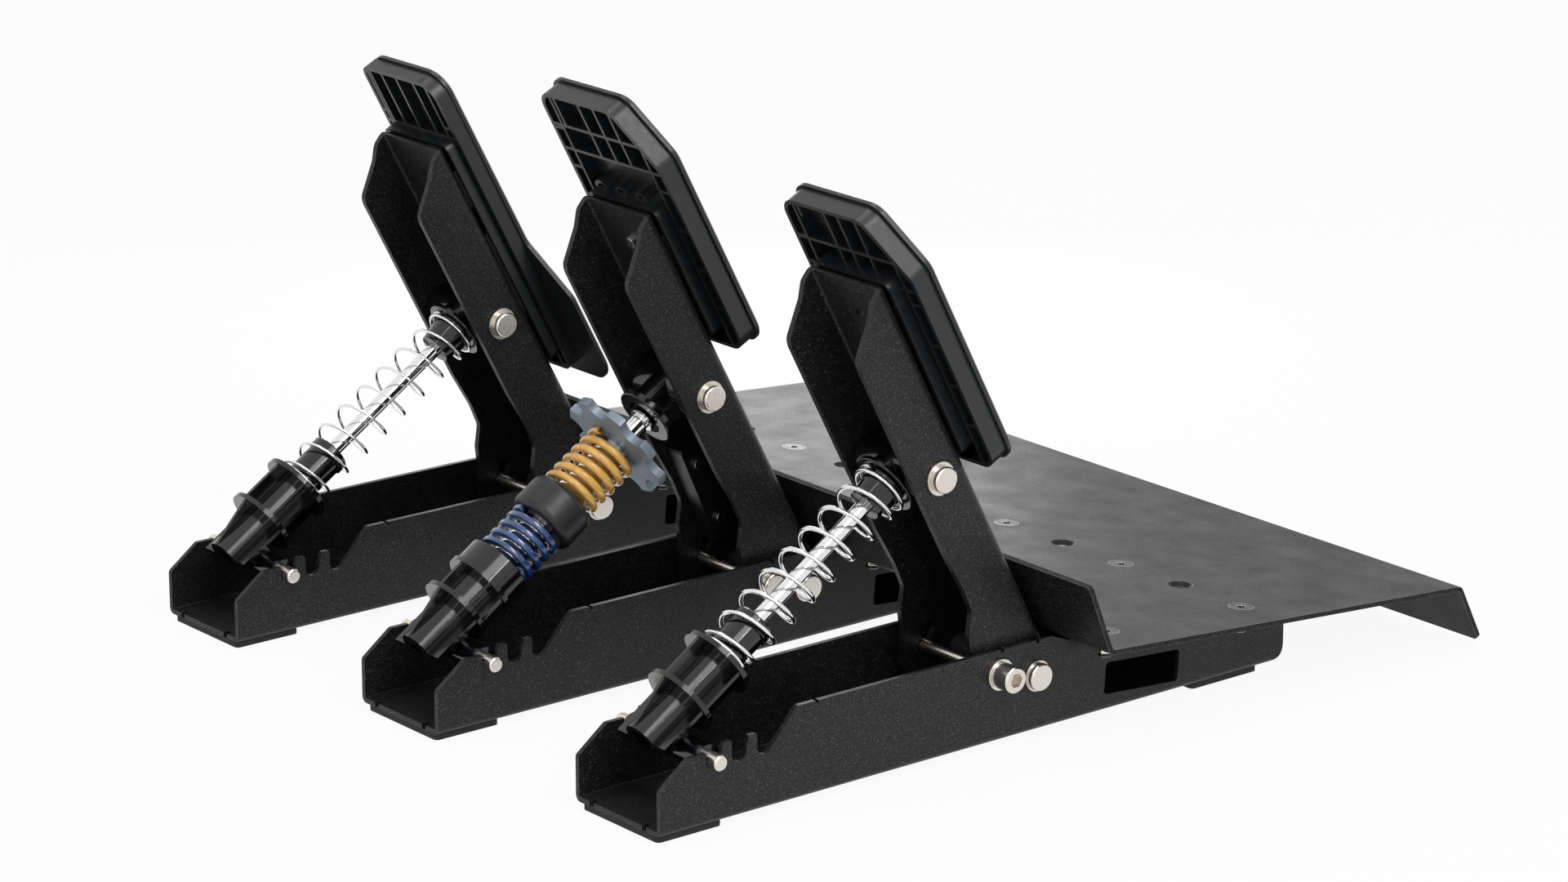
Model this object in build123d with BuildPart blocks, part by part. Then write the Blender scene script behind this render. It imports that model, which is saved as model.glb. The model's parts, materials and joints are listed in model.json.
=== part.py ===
from build123d import *
from math import asin, atan, atan2, cos, degrees, pi, radians, sin, sqrt
import os

os.makedirs("parts", exist_ok=True)

# A floor set of three pedals for driving games. Clutch, brake and throttle each stand
# on their own rail, and one folded heel plate ties the three rails together.
# Millimetres, +Z up, +Y away from the driver, +X from the clutch to the throttle.
# A place along a rail is its run behind the rail's front end, and its rise over the rail's floor.

# The three modules
pedal_pitch = 136.1
module_x = {"clutch": -pedal_pitch, "brake": 0, "throttle": pedal_pitch}

# Clearances, and how far a cut reaches past what it cuts
fit_gap = 0.05
run_gap = 0.3
overrun = 5.0
near_enough = 0.05

# Pivots of one module, the lean of its arm in degrees, and how far the strut's lower pin
# lies under the strut's axis
strut_pin_run = 24.1
strut_pin_rise = 24.1
strut_reach = 108.5
eye_run = strut_pin_run + strut_reach
eye_reach = 45.1
eye_height = 85.0
pivot_run = eye_run + eye_reach
pivot_rise = 22.1
eye_rise = pivot_rise + eye_height
arm_lean = 27.8
strut_pin_drop = 9.803

# Rail: a channel folded from sheet
rail_width = 50.0
rail_sheet = 2.0
rail_bend = 2.6
wall_rise = 36.0
nose_rise = 17.6
nose_run = 12.9
nose_top = 27.3
tab_rise = 29.8
step_foot_turn = 30.0
step_setback = 15.1
heel_round = 6.7
ear_setback = 7.5
ear_ease = 11.7
ear_reach = 40.8
ear_notch = 2.5

# Hook slots for the strut pin
hook_count = 3
hook_pitch = 11.6
hook_side_gap = 0.3
hook_lean = 3.9
hook_lean_rise = 7.0
hook_lip = 4.8
hook_lip_rise = 9.4
hook_height = 12.0
hook_tip_round = 0.8

# Window in the wall on the clutch side, and small notches in the edges
window_length = 38.2
window_height = 12.7
window_round = 1.6
window_setback = 35.0
window_rise = 11.6
notch_width = 1.6
notch_depth = 1.2
notch_run_shares = [0.234, 0.524, 0.581]
relief_width = 2.5
relief_depth = 3.0
relief_place = 15.5

# Rubber feet under each rail
foot_thick = 2.8
front_foot_run = 0.8
front_foot_length = 29.2
rear_foot_inset = 11.2
rear_foot_length = 34.9
foot_round = 2.0

# Heel plate
plate_thick = 2.0
plate_side_margin = 13.9
plate_slope = 0.075
plate_bend = 1.6
plate_round = 2.0
plate_setback = 11.5
plate_overhang = 68.2
front_flange_lean = 10.9
front_flange_height = 27.4
rear_flange_lean = 12.1
rear_flange_height = 23.7
screw_row_margin = 7.9
screw_row_end = 32.2
screw_row_rise = 31.2
screw_row_gap = 69.9
screw_spread_share = 0.25

# Countersunk screws with their nuts
screw_shank = 5.0
screw_head = 10.0
screw_head_depth = 1.8
screw_head_base = 6.2
screw_length = 9.9
screw_socket = 3.0
screw_socket_depth = 1.2
nut_flats = 8.0
nut_thick = 4.0

# Arm: a channel folded from sheet
arm_side_gap = 2.25
arm_width = rail_width - 2 * (rail_sheet + arm_side_gap)
arm_sheet = 2.5
arm_bend = 4.0
arm_top = 81.0
arm_depth = 24.2
eye_setback = 12.85
lobe_round = 12.6
arm_corner = 5.0
arm_top_corner = 2.0
arm_reach_share = 3

# Pins
pin_shank = 8.0
pivot_head = 10.8
pivot_head_length = 2.6
pivot_washer = 12.2
pivot_washer_thick = 1.0
upper_head = 10.3
upper_head_length = 3.4
upper_washer = 12.9
upper_washer_thick = 1.2
pin_chamfer = 0.6
bush_wall = 1.5
strut_pin = 6.0
strut_pin_out = 4.7
stop_setback = 18.5
stop_lift = 4.6
stop_run = pivot_run - stop_setback
stop_rise = pivot_rise + stop_lift
stop_shank = 5.0
stop_head = 10.2
stop_head_length = 8.4
stop_pin_head_length = 2.6
stop_washer = 12.2
stop_washer_thick = 1.3
stop_socket = 5.0
stop_socket_depth = 4.5
stop_nut_thick = 4.0
pedal_travel = 20.0

# Pads
pad_gap = 4.6
carrier_wall = 1.8
carrier_base = 2.0
rib_thick = 1.4
face_thick = 2.3
grip_height = 0.6
face_lip = 1.25
face_soft = 0.8
pad_low = {"clutch": -7.6, "brake": 11.3, "throttle": -37.8}
pad_high = {"clutch": 104.9, "brake": 123.6, "throttle": 108.2}
pad_half = {"clutch": 31.3, "brake": 31.3, "throttle": 24.6}
carrier_depth = {"clutch": 7.5, "brake": 7.5, "throttle": 5.9}
pad_cut_across = 16.3
pad_cut_down = 23.8
pad_corner = {"clutch": 8.0, "brake": 8.0, "throttle": 5.4}
throttle_flare_round = 10.0
far_lip_share = 0.333
spine_margin = 1.0
spine_foot = 8.0
spine_wall = 1.8
spine_round = 4.0
side_rib_share = 0.772
tab_count = 6
boss_round = 6.0
pad_screw_up = 63.5
pad_screw_gap = 32.0
pad_screw_shank = 5.0
pad_screw_head = 8.5
pad_screw_head_depth = 2.8
pad_screw_socket = 3.0
pad_screw_stand = 1.6

# Strut parts shared by the modules, measured down the axis from the upper pin
eye_round = 9.5
rod_width = 6.0
rod_gap = 1.25
rod_start = 14.0
rod_engagement = 2.5
ring_round = 14.7
ring_thick = 2.0
ring_setback = 32.054
ring_spacing = 20.0
core_round = 7.5
fin_thick = 1.5
housing_tail = 21.2
boss_pin_round = 5.1
boss_side_gap = 1.0
boss_length = rail_width - 2 * (rail_sheet + boss_side_gap)
collar_reach = 20.9
collar_length = 4.2
collar_round = 8.2
seat_start = 8.7
seat_end = 10.6
seat_round = 13.0
seat_rim_round = 0.6
gusset_share = 0.333
guide_round = 8.6
guide_tip_round = 6.5
guide_end = 22.0
return_spring_width = 21.7
return_wire = {"clutch": 1.7, "throttle": 1.2}
return_turns = 10.25

# Brake strut
brake_seat_start = 15.8
brake_seat_end = 18.6
brake_seat_round = 12.3
brake_seat_recess = 7.7
brake_seat_recess_depth = 1.6
stud_width = 8.8
stud_start = 6.0
stud_collar = 10.4
groove_start = 20.6
groove_end = 22.2
groove_width = 7.2
adjuster_start = 32.2
adjuster_thick = 3.8
adjuster_end = adjuster_start + adjuster_thick
adjuster_width = 46.4
adjuster_lobes = 8
adjuster_turned = 33.0
plunger_width = 12.4
plunger_engagement = 10.5
plunger_gap = 0.8
amber_width = 23.8
amber_wire = 3.2
amber_pitch = 5.2
amber_free_length = 28.6
cup_length = 15.4
cup_width = 27.7
cup_round = 3.0
blue_width = 23.3
blue_wire = 2.4
blue_wire_across = 3.4
blue_pitch = 4.5
blue_free_length = 21.5
brake_collar_setback = 34.754
brake_collar_length = 11.5
brake_collar_round = 13.7
brake_core_round = 9.6
brake_ring_spacing = 13.5
brake_tail = 21.9
brake_bore_floor = 0.5

# Sensor parts
cover_width = 11.0
cover_thick = 10.0
cover_top_back = 8.4
cover_top_drop = 31.1
cover_foot_ahead = 18.3
cover_foot_lift = 13.3
cover_round = 1.5
cover_screw = 3.0
cover_screw_head = 5.2
cover_screw_head_length = 1.6
cover_screw_inset = 9.0
board_case_length = 24.0
board_case_width = 17.0
board_case_height = 15.4
board_case_setback = 24.3
board_case_gap = 2.0
board_case_round = 1.2

# The heel plate starts behind the arms, and its screws, the ears and the rails' ends follow it
plate_fold_run = pivot_run + plate_setback
ear_run = plate_fold_run + ear_setback
wall_flat_run = ear_run - ear_ease
window_run = ear_run + window_setback
screw_row_run = ear_run + screw_row_margin + screw_row_gap
rail_length = screw_row_run + screw_row_end
rear_foot_run = rail_length - rear_foot_inset - rear_foot_length
plate_rear_run = rail_length + plate_overhang
plate_width = 2 * (pedal_pitch + ear_reach + plate_side_margin)

# The set's middle lies halfway between the rails' front ends and the heel plate's lower edge
plate_rear_rise = screw_row_rise - plate_slope * (plate_rear_run - screw_row_run)
front_y = (plate_rear_run + rear_flange_lean) / 2


def spot(run, rise):
    """Y and Z of a point at a run along the rail and a rise over its floor's underside"""
    return (front_y - run, foot_thick + rise)


def plate_top(run):
    """Rise of the heel plate's upper face at a run"""
    return screw_row_rise + plate_slope * (screw_row_run - run)


plate_drop = plate_thick * sqrt(1 + plate_slope**2)
plate_angle = degrees(atan(plate_slope))
plate_plane = Plane(
    origin=(0, *spot(screw_row_run, screw_row_rise)), x_dir=(1, 0, 0), z_dir=(0, -plate_slope, 1)
)
screw_row_step = screw_row_gap * sqrt(1 + plate_slope**2)

lean = radians(arm_lean)
web_foot = Vector(0, *spot(eye_run, eye_rise)) + Vector(0, -cos(lean), sin(lean)) * eye_setback
web_plane = Plane(origin=web_foot, x_dir=(1, 0, 0), z_dir=(0, -cos(lean), sin(lean)))
arm_side = Plane(origin=web_foot, x_dir=(0, -cos(lean), sin(lean)), z_dir=(-1, 0, 0))
arm_section = Plane(origin=web_foot, x_dir=(1, 0, 0), z_dir=(0, sin(lean), cos(lean)))

pin_height = eye_rise - strut_pin_rise
pin_distance = sqrt(strut_reach**2 + pin_height**2)
slope = atan2(pin_height, strut_reach) - asin(strut_pin_drop / pin_distance)
strut_plane = Plane(
    origin=(0, *spot(eye_run, eye_rise)), x_dir=(-1, 0, 0), z_dir=(0, cos(slope), -sin(slope))
)


def on_arm(run, rise):
    """A point of the module seen in the arm's own side plane"""
    local = arm_side.to_local_coords(Vector(0, *spot(run, rise)))
    return (local.X, local.Y)


def on_strut(run, rise):
    """Distance of a point down the strut's axis and above it"""
    local = strut_plane.to_local_coords(Vector(0, *spot(run, rise)))
    return (local.Z, local.Y)


def keep(piece, name):
    """Label a finished piece and write it out"""
    piece.label = name
    export_step(piece, "parts/" + name + ".step")


def turned_across(points):
    """Solid turned round a level line across the set, from X and radius points"""
    with BuildPart() as turned:
        with BuildSketch(Plane.XY):
            with BuildLine():
                Polyline(points, close=True)
            make_face()
        revolve(axis=Axis.X)
    return turned.part


def turned_down(points):
    """Solid turned round a strut's axis, from radius and distance points"""
    with BuildPart() as turned:
        with BuildSketch(Plane.XZ):
            with BuildLine():
                Polyline(points, close=True)
            make_face()
        revolve(axis=Axis.Z)
    return turned.part


def ring_points(start, end, inner, outer):
    """Outline of a ring between two places"""
    return [(start, inner), (end, inner), (end, outer), (start, outer)]


def sheet_outline(points, thick):
    """Outline of folded sheet: its outer face, and its inner face one thickness to the right"""
    places = [Vector(*point) for point in points]
    sides = []
    for start, end in zip(places, places[1:]):
        along = (end - start).normalized()
        sides.append(Vector(along.Y, -along.X) * thick)
    inner = [places[0] + sides[0]]
    for corner, before, after in zip(places[1:], sides, sides[1:]):
        both = before + after
        inner.append(corner + both * (2 * thick**2 / both.dot(both)))
    inner.append(places[-1] + sides[-1])
    return places + inner[::-1]


def nearest_corners(sketch, points):
    """Corners of a sketch that lie at the given points"""
    return [sketch.vertices().sort_by_distance(Vector(*point))[0] for point in points]


# Rail, built once at the middle of the set and placed three times
half_rail = rail_width / 2
half_inside = half_rail - rail_sheet
trough_height = wall_rise + overrun


def plate_under(run):
    """Rise of the heel plate's lower face at a run"""
    return plate_top(run) - plate_drop


pin_drop = strut_pin / 2 + fit_gap
slot_half = strut_pin / 2 + hook_side_gap
slot_low = strut_pin_rise - pin_drop
last_hook_run = strut_pin_run + hook_pitch * (hook_count - 1)
step_turn = radians(step_foot_turn)
step_foot_run = last_hook_run + slot_half * cos(step_turn)
step_foot_rise = slot_low + slot_half * (1 - sin(step_turn))
ear_notch_rise = plate_under(ear_run) - ear_notch
wall_points = [
    spot(0, 0),
    spot(0, nose_rise),
    spot(nose_run, nose_top),
    spot(strut_pin_run, nose_top),
    spot(strut_pin_run, tab_rise),
    spot(last_hook_run, tab_rise),
    spot(last_hook_run, step_foot_rise),
    spot(step_foot_run, step_foot_rise),
    spot(last_hook_run + step_setback, wall_rise),
    spot(wall_flat_run, wall_rise),
    spot(ear_run - ear_notch, ear_notch_rise),
    spot(ear_run, ear_notch_rise),
    spot(ear_run, plate_under(ear_run)),
    spot(rail_length, plate_under(rail_length)),
    spot(rail_length, 0),
]

with BuildPart() as rail_blank:
    with BuildSketch(Plane.YZ) as wall:
        with BuildLine():
            Polyline(wall_points, close=True)
        make_face()
        fillet(nearest_corners(wall, [spot(rail_length, 0)]), heel_round)
        fillet(nearest_corners(wall, wall_points[1:3] + wall_points[8:10]), rail_sheet)
        for index in range(hook_count):
            slot_run = strut_pin_run + hook_pitch * index
            with BuildLine():
                left_foot = spot(slot_run - slot_half, slot_low + slot_half)
                right_foot = spot(slot_run + slot_half, slot_low + slot_half)
                Polyline(
                    left_foot,
                    spot(slot_run - slot_half, slot_low + hook_height),
                    spot(slot_run + hook_lip, slot_low + hook_height),
                    spot(slot_run + hook_lip, slot_low + hook_lip_rise),
                    spot(slot_run + hook_lean, slot_low + hook_lean_rise),
                    right_foot,
                )
                ThreePointArc(left_foot, spot(slot_run, slot_low), right_foot)
            make_face(mode=Mode.SUBTRACT)
        hook_tips = [
            spot(strut_pin_run + hook_pitch * index - slot_half, tab_rise) for index in range(1, hook_count)
        ]
        fillet(nearest_corners(wall, hook_tips), hook_tip_round)
        for share in notch_run_shares:
            with Locations(spot(rail_length * share, wall_rise)):
                Rectangle(notch_width, 2 * notch_depth, mode=Mode.SUBTRACT)
    extrude(amount=half_rail, both=True)
    with BuildSketch(Plane.XZ) as trough:
        with Locations((0, foot_thick + trough_height / 2)):
            Rectangle(rail_width, trough_height)
        fillet(trough.vertices().group_by(Axis.Y)[0], rail_bend)
    extrude(amount=rail_length, both=True, mode=Mode.INTERSECT)
    with BuildSketch(plate_plane.offset(-plate_thick)):
        ear_front = (screw_row_run - ear_run) * sqrt(1 + plate_slope**2)
        ear_back = (screw_row_run - rail_length) * sqrt(1 + plate_slope**2)
        with Locations((0, (ear_front + ear_back) / 2)):
            Rectangle(2 * ear_reach, ear_front - ear_back)
    extrude(amount=-rail_sheet)
    with BuildSketch(Plane.XZ) as channel:
        with Locations((0, foot_thick + rail_sheet + trough_height / 2)):
            Rectangle(2 * half_inside, trough_height)
        fillet(channel.vertices().group_by(Axis.Y)[0], rail_bend - rail_sheet)
    extrude(amount=rail_length, both=True, mode=Mode.SUBTRACT)
    with BuildSketch(Plane.YZ.offset(-half_rail - overrun)):
        with Locations(spot(window_run, window_rise)):
            RectangleRounded(window_length, window_height, window_round, rotation=plate_angle)
    extrude(amount=rail_sheet + 2 * overrun, mode=Mode.SUBTRACT)
    with BuildSketch(Plane.YZ):
        with Locations(spot(pivot_run, pivot_rise)):
            Circle(pin_shank / 2 + fit_gap)
        with Locations(spot(stop_run, stop_rise)):
            Circle(stop_shank / 2 + fit_gap)
    extrude(amount=rail_width, both=True, mode=Mode.SUBTRACT)
    with BuildSketch(plate_plane):
        for row in (0, screw_row_step):
            screw_place = pedal_pitch * screw_spread_share
            with Locations((screw_place, row), (-screw_place, row)):
                Circle(screw_shank / 2 + run_gap)
    extrude(amount=-(plate_thick + rail_sheet + nut_thick), mode=Mode.SUBTRACT)
    with BuildSketch(Plane.XY.offset(foot_thick)):
        relief_y = spot(0, 0)[0]
        with Locations((relief_place, relief_y), (-relief_place, relief_y)):
            Rectangle(relief_width, 2 * relief_depth)
    extrude(amount=rail_sheet + fit_gap, mode=Mode.SUBTRACT)
    top_edges = [
        edge
        for edge in rail_blank.edges().filter_by(GeomType.LINE)
        if abs(abs(edge.center().X) - half_inside) < near_enough
        and abs(plate_plane.to_local_coords(edge.center()).Z + plate_thick) < near_enough
        and edge.length > hook_pitch
    ]
    fillet(top_edges, rail_bend - rail_sheet)

for name, x in module_x.items():
    with BuildPart() as rail:
        with Locations((x, 0, 0)):
            add(rail_blank.part)
    keep(rail.part, name + "_rail")

# Feet
foot_width = rail_width - 2 * rail_bend


def feet(run, length):
    """One foot under each rail"""
    with BuildPart() as group:
        with BuildSketch(Plane.XY):
            for x in module_x.values():
                with Locations((x, spot(run + length / 2, 0)[0])):
                    RectangleRounded(foot_width, length, foot_round)
        extrude(amount=foot_thick)
    return group.part


with BuildPart() as front_feet:
    add(feet(front_foot_run, front_foot_length))
keep(front_feet.part, "front_feet")

with BuildPart() as rear_feet:
    add(feet(rear_foot_run, rear_foot_length))
keep(rear_feet.part, "rear_feet")

# Heel plate, with countersunk holes for its own screws and for bolting the set down
plate_points = [
    spot(plate_fold_run - front_flange_lean, plate_top(plate_fold_run) + front_flange_height),
    spot(plate_fold_run, plate_top(plate_fold_run)),
    spot(plate_rear_run, plate_rear_rise),
    spot(plate_rear_run + rear_flange_lean, plate_rear_rise - rear_flange_height),
]
screw_places = [
    (side * pedal_pitch * screw_spread_share * step, row)
    for step in (1, 3, 5)
    for side in (-1, 1)
    for row in (0, screw_row_step)
]
open_hole_places = [(pedal_pitch * step / 2, 0) for step in (-2, -1, 0, 1, 2)]
head_half = screw_head / 2
base_half = screw_head_base / 2
shank_half = screw_shank / 2

with BuildPart() as plate_hole:
    with BuildSketch(Plane.XZ):
        with BuildLine():
            Polyline(
                (0, overrun),
                (head_half + fit_gap, overrun),
                (head_half + fit_gap, 0),
                (base_half + fit_gap, -screw_head_depth),
                (shank_half + run_gap, -screw_head_depth),
                (shank_half + run_gap, -overrun),
                (0, -overrun),
                close=True,
            )
        make_face()
    revolve(axis=Axis.Z)

with BuildPart() as heel_plate:
    with BuildSketch(Plane.YZ) as fold:
        with BuildLine():
            Polyline(*[tuple(point)[:2] for point in sheet_outline(plate_points, -plate_thick)], close=True)
        make_face()
        outer = [plate_points[1], plate_points[2]]
        inner = sheet_outline(plate_points, -plate_thick)[5:7]
        fillet(nearest_corners(fold, [inner[1]]), plate_bend + plate_thick)
        fillet(nearest_corners(fold, [outer[0]]), plate_bend)
        fillet(nearest_corners(fold, [outer[1]]), plate_bend + plate_thick)
        fillet(nearest_corners(fold, [inner[0]]), plate_bend)
    extrude(amount=plate_width / 2, both=True)
    with Locations(plate_plane.location):
        with Locations(*[(x, y, 0) for x, y in screw_places + open_hole_places]):
            add(plate_hole.part, mode=Mode.SUBTRACT)
    fillet(heel_plate.edges().filter_by(lambda e: abs(e.length - plate_thick) < near_enough), plate_round)
keep(heel_plate.part, "heel_plate")

# Screws of the heel plate and their nuts
with BuildPart() as plate_screw:
    with BuildSketch(Plane.XZ):
        with BuildLine():
            Polyline(
                (0, 0),
                (head_half, 0),
                (base_half, -screw_head_depth),
                (shank_half, -screw_head_depth),
                (shank_half, -screw_length),
                (0, -screw_length),
                close=True,
            )
        make_face()
    revolve(axis=Axis.Z)
    with BuildSketch(Plane.XY):
        RegularPolygon(screw_socket / 2, 6, major_radius=False)
    extrude(amount=-screw_socket_depth, mode=Mode.SUBTRACT)

with BuildPart() as plate_screws:
    with Locations(plate_plane.location):
        with Locations(*[(x, y, 0) for x, y in screw_places]):
            add(plate_screw.part)
keep(plate_screws.part, "plate_screws")

with BuildPart() as plate_nuts:
    with BuildSketch(plate_plane.offset(-plate_thick - rail_sheet)):
        with Locations(*screw_places):
            RegularPolygon(nut_flats / 2, 6, major_radius=False)
            Circle(shank_half + fit_gap, mode=Mode.SUBTRACT)
    extrude(amount=-nut_thick)
keep(plate_nuts.part, "plate_nuts")

# Pins and washers of the rails, each spanning both walls
pin_half = pin_shank / 2


def headed_pin(shank, head, head_length, gap):
    """Pin across the rail with a chamfered head beyond a washer on either side"""
    inner = half_rail + gap
    outer = inner + head_length
    points = [(-outer, 0)]
    for side in (-1, 1):
        ends = [(outer, head / 2 - pin_chamfer), (outer - pin_chamfer, head / 2), (inner, head / 2)]
        ends.append((inner, shank / 2))
        row = ends if side < 0 else ends[::-1]
        points += [(side * x, r) for x, r in row]
    points.append((outer, 0))
    return turned_across(points)


def washer_pair(thick, width, hole, inside):
    """Washers that lie against the outer faces of two walls"""
    with BuildPart() as pair:
        for side in (-1, 1):
            washer_points = ring_points(side * inside, side * (inside + thick), hole / 2 + fit_gap, width / 2)
            add(turned_across(washer_points))
    return pair.part


pivot_places = [(x, *spot(pivot_run, pivot_rise)) for x in module_x.values()]
stop_places = {name: (x, *spot(stop_run, stop_rise)) for name, x in module_x.items()}

with BuildPart() as pivot_pins:
    with Locations(*pivot_places):
        add(headed_pin(pin_shank, pivot_head, pivot_head_length, pivot_washer_thick))
keep(pivot_pins.part, "pivot_pins")

with BuildPart() as pivot_washers:
    with Locations(*pivot_places):
        add(washer_pair(pivot_washer_thick, pivot_washer, pin_shank, half_rail))
keep(pivot_washers.part, "pivot_washers")

with BuildPart() as stop_pins:
    with Locations(stop_places["brake"], stop_places["throttle"]):
        add(headed_pin(stop_shank, stop_head, stop_pin_head_length, stop_washer_thick))
keep(stop_pins.part, "stop_pins")

with BuildPart() as stop_washers:
    with Locations(*stop_places.values()):
        add(washer_pair(stop_washer_thick, stop_washer, stop_shank, half_rail))
keep(stop_washers.part, "stop_washers")

stop_face = half_rail + stop_washer_thick
stop_nut_end = stop_face + stop_nut_thick
with BuildPart() as stop_bolt:
    with Locations(stop_places["clutch"]):
        add(
            turned_across(
                [
                    (-stop_face - stop_head_length, 0),
                    (-stop_face - stop_head_length, stop_head / 2 - pin_chamfer),
                    (-stop_face - stop_head_length + pin_chamfer, stop_head / 2),
                    (-stop_face, stop_head / 2),
                    (-stop_face, stop_shank / 2),
                    (stop_nut_end, stop_shank / 2),
                    (stop_nut_end + pin_chamfer, stop_shank / 2 - pin_chamfer),
                    (stop_nut_end + pin_chamfer, 0),
                ]
            )
        )
    with BuildSketch(Plane.YZ.offset(module_x["clutch"] - stop_face - stop_head_length)):
        with Locations(spot(stop_run, stop_rise)):
            RegularPolygon(stop_socket / 2, 6, major_radius=False)
    extrude(amount=stop_socket_depth, mode=Mode.SUBTRACT)
keep(stop_bolt.part, "stop_bolt")

with BuildPart() as stop_nut:
    with BuildSketch(Plane.YZ.offset(module_x["clutch"] + stop_face)):
        with Locations(spot(stop_run, stop_rise)):
            RegularPolygon(nut_flats / 2, 6, major_radius=False)
            Circle(stop_shank / 2 + fit_gap, mode=Mode.SUBTRACT)
    extrude(amount=stop_nut_thick)
keep(stop_nut.part, "stop_nut")

strut_pin_half = half_rail + strut_pin_out
with BuildPart() as strut_pins:
    with Locations(*[(x, *spot(strut_pin_run, strut_pin_rise)) for x in module_x.values()]):
        add(
            turned_across(
                [
                    (-strut_pin_half, 0),
                    (-strut_pin_half, strut_pin / 2 - pin_chamfer),
                    (-strut_pin_half + pin_chamfer, strut_pin / 2),
                    (strut_pin_half - pin_chamfer, strut_pin / 2),
                    (strut_pin_half, strut_pin / 2 - pin_chamfer),
                    (strut_pin_half, 0),
                ]
            )
        )
keep(strut_pins.part, "strut_pins")

# Arm: seen from the side in its own plane, outward from the web and up along it
half_arm = arm_width / 2
half_arm_inside = half_arm - arm_sheet
pivot_on_arm = on_arm(pivot_run, pivot_rise)
stop_on_arm = on_arm(stop_run, stop_rise)
flange_shares = [
    (0.31, 0.963),
    (0.49, 0.894),
    (0.96, 0.775),
    (0.99, 0.735),
    (1.0, -0.358),
    (0.957, -0.570),
    (0.988, -0.698),
    (1.22, -0.793),
    (1.326, -0.880),
    (1.60, -1.033),
    (1.595, -1.117),
    (1.397, -1.216),
]
lobe_point_share = (-0.35, -0.937)
flange_points = [(-arm_depth * out, arm_top * up) for out, up in flange_shares]
flange_foot = (
    pivot_on_arm[0] + lobe_round * lobe_point_share[0],
    pivot_on_arm[1] + lobe_round * lobe_point_share[1],
)
stop_reach = Vector(stop_on_arm[0] - pivot_on_arm[0], stop_on_arm[1] - pivot_on_arm[1])
stop_angle = degrees(atan2(stop_reach.Y, stop_reach.X))
arm_reach = arm_top * arm_reach_share

with BuildPart() as arm_blank:
    with BuildSketch(arm_side) as flange:
        with BuildLine():
            Polyline([(0, arm_top)] + flange_points + [flange_foot, (0, pivot_on_arm[1])], close=True)
        make_face()
        fillet(nearest_corners(flange, flange_points), arm_corner)
        fillet(nearest_corners(flange, [(0, arm_top)]), arm_top_corner)
        with Locations(pivot_on_arm):
            Circle(lobe_round)
    extrude(amount=half_arm, both=True)
    with BuildSketch(arm_section) as outside:
        with Locations((0, arm_depth)):
            Rectangle(arm_width, 2 * arm_depth)
        fillet(outside.vertices().group_by(Axis.Y)[0], arm_bend)
    extrude(amount=arm_reach, both=True, mode=Mode.INTERSECT)
    with BuildSketch(arm_section) as inside:
        with Locations((0, arm_sheet + arm_depth)):
            Rectangle(2 * half_arm_inside, 2 * arm_depth)
        fillet(inside.vertices().group_by(Axis.Y)[0], arm_bend - arm_sheet)
    extrude(amount=arm_reach, both=True, mode=Mode.SUBTRACT)
    with BuildSketch(arm_side):
        with Locations(pivot_on_arm):
            Circle(pin_half + fit_gap + bush_wall)
        with Locations(on_arm(eye_run, eye_rise)):
            Circle(pin_half + fit_gap)
    extrude(amount=arm_width, both=True, mode=Mode.SUBTRACT)
    stop_arc = CenterArc(pivot_on_arm, stop_reach.length, stop_angle, -pedal_travel, mode=Mode.PRIVATE)
    with BuildSketch(arm_side):
        SlotArc(stop_arc, stop_shank + 2 * run_gap)
    extrude(amount=arm_width, both=True, mode=Mode.SUBTRACT)
    with BuildSketch(web_plane):
        with Locations((0, pad_screw_up), (0, pad_screw_up - pad_screw_gap)):
            Circle(pad_screw_shank / 2 + fit_gap)
    extrude(amount=-arm_depth / 2, mode=Mode.SUBTRACT)

bush_half = half_inside - run_gap
with BuildPart() as bush_blank:
    add(turned_across(ring_points(-bush_half, bush_half, pin_half + fit_gap, pin_half + bush_wall)))

with BuildPart() as upper_pin_blank:
    upper_face = half_arm + upper_washer_thick
    upper_end = upper_face + upper_head_length
    upper_points = [(-upper_end, 0)]
    upper_row = [
        (upper_end, upper_head / 2 - pin_chamfer),
        (upper_end - pin_chamfer, upper_head / 2),
        (upper_face, upper_head / 2),
        (upper_face, pin_half),
    ]
    upper_points += [(-x, r) for x, r in upper_row] + upper_row[::-1] + [(upper_end, 0)]
    add(turned_across(upper_points))

for name, x in module_x.items():
    with BuildPart() as arm:
        with Locations((x, 0, 0)):
            add(arm_blank.part)
    keep(arm.part, name + "_arm")
    with BuildPart() as bush:
        with Locations((x, *spot(pivot_run, pivot_rise))):
            add(bush_blank.part)
    keep(bush.part, name + "_bush")
    with BuildPart() as upper_pin:
        with Locations((x, *spot(eye_run, eye_rise))):
            add(upper_pin_blank.part)
    keep(upper_pin.part, name + "_upper_pin")
    with BuildPart() as upper_washers:
        with Locations((x, *spot(eye_run, eye_rise))):
            add(washer_pair(upper_washer_thick, upper_washer, pin_shank, half_arm))
    keep(upper_washers.part, name + "_upper_washers")

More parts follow.
